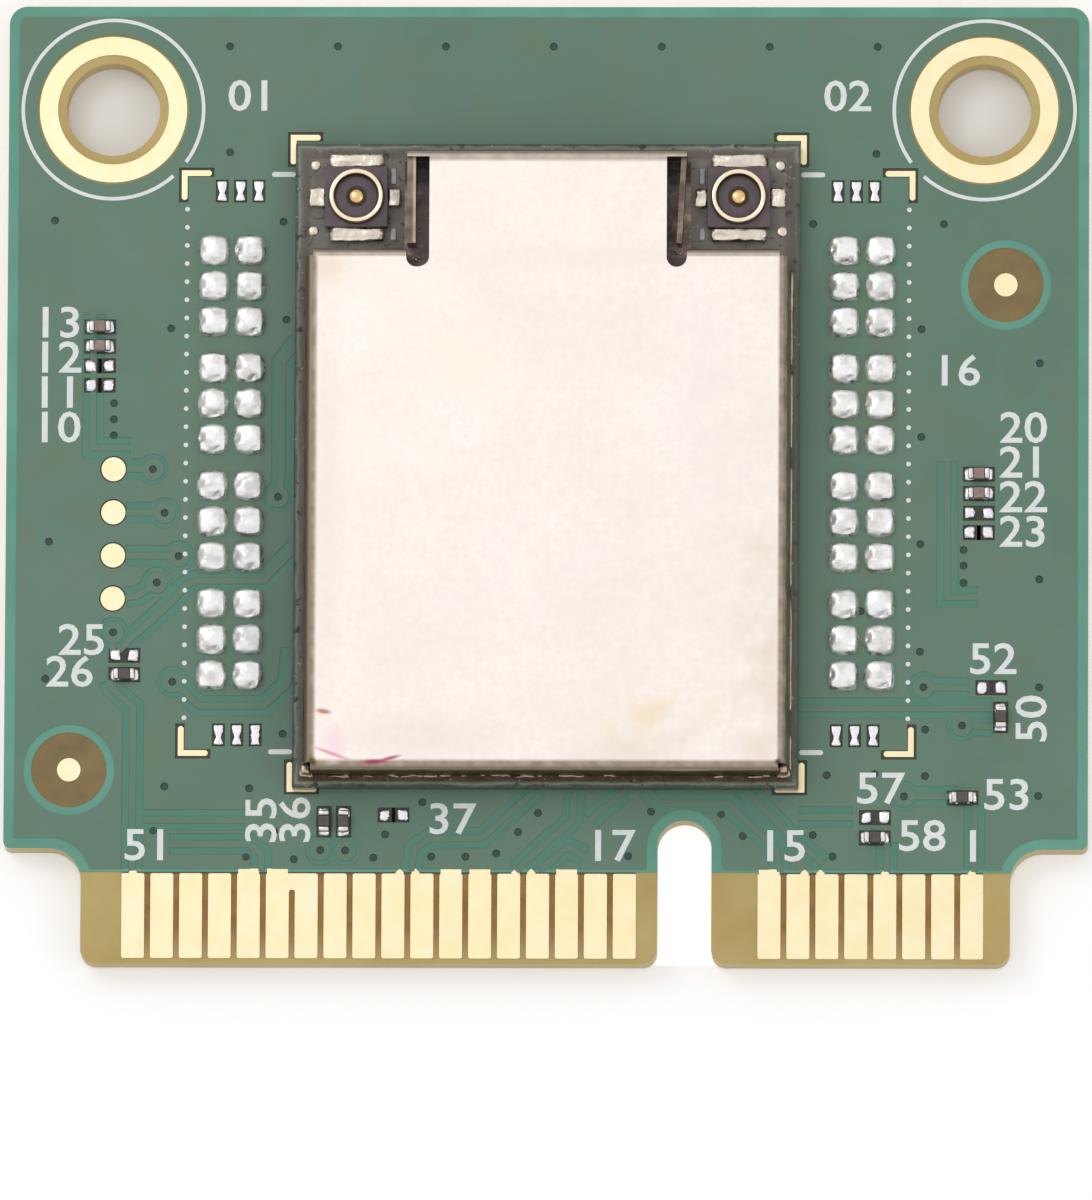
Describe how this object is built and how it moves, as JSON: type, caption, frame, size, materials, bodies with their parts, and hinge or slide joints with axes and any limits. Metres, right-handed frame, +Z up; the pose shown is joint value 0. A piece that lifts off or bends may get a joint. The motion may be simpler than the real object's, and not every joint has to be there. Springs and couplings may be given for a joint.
{
  "type": "mini pcie wifi card",
  "caption": "Half-length mini card: green board with a gold edge connector, a shielded radio module with antenna connectors, and mounting holes.",
  "frame": {"origin": "middle of the board outline, on its lower face", "axes": "+Z up from the component side, +Y from the edge contacts to the mounting holes, +X to the right as pictured"},
  "size_m": [0.03, 0.0268, 0.0027],
  "materials": {
    "laminate": "glass-fibre laminate, tan olive, satin",
    "green_lacquer": "green solder resist, satin gloss, duller over copper",
    "dark_lacquer": "dark grey-green solder resist of the module board",
    "gold_plating": "pale immersion gold over copper",
    "gold_shell": "gold-plated phosphor bronze, rosy",
    "gold_contact": "gold-plated contact",
    "solder": "reflowed solder, bright and slightly dimpled",
    "tinned_ends": "tinned chip terminals",
    "tinned_steel": "tin-plated sheet, pale, with faint stains",
    "capacitor_ceramic": "taupe capacitor ceramic",
    "resistor_ceramic": "dark glazed resistor",
    "chip_moulding": "black moulded epoxy",
    "ferrite": "grey-black ferrite",
    "connector_moulding": "dark purple-brown moulding",
    "white_print": "white printed ink"
  },
  "bodies": {
    "root": {"board_laminate": "laminate", "solder_mask_top": "green_lacquer", "solder_mask_bottom": "green_lacquer", "top_contacts_left": "gold_plating", "top_contacts_right": "gold_plating", "bottom_contacts_left": "gold_plating", "bottom_contacts_right": "gold_plating", "left_ground_ring_top": "gold_plating", "right_ground_ring_top": "gold_plating", "left_ground_ring_bottom": "gold_plating", "right_ground_ring_bottom": "gold_plating", "alignment_dots": "gold_plating", "test_pads": "gold_plating", "inner_corner_marks": "gold_plating", "outer_corner_marks": "gold_plating", "left_solder_bumps": "solder", "right_solder_bumps": "solder", "corner_solder_pads": "solder", "chip_solder_lands": "solder", "capacitor_bodies": "capacitor_ceramic", "capacitor_terminals": "tinned_ends", "resistor_bodies": "resistor_ceramic", "resistor_terminals": "tinned_ends", "printed_dashes": "white_print", "module_solder_joints": "solder", "module_board": "dark_lacquer", "shield_can": "tinned_steel", "left_connector_base": "connector_moulding", "left_connector_shell": "gold_shell", "left_connector_contact": "gold_contact", "right_connector_base": "connector_moulding", "right_connector_shell": "gold_shell", "right_connector_contact": "gold_contact", "radio_chip": "chip_moulding", "left_front_end_chip": "chip_moulding", "right_front_end_chip": "chip_moulding", "reference_crystal": "tinned_steel", "power_inductor": "ferrite", "memory_chip": "chip_moulding", "module_capacitors": "capacitor_ceramic"}
  },
  "joints": []
}
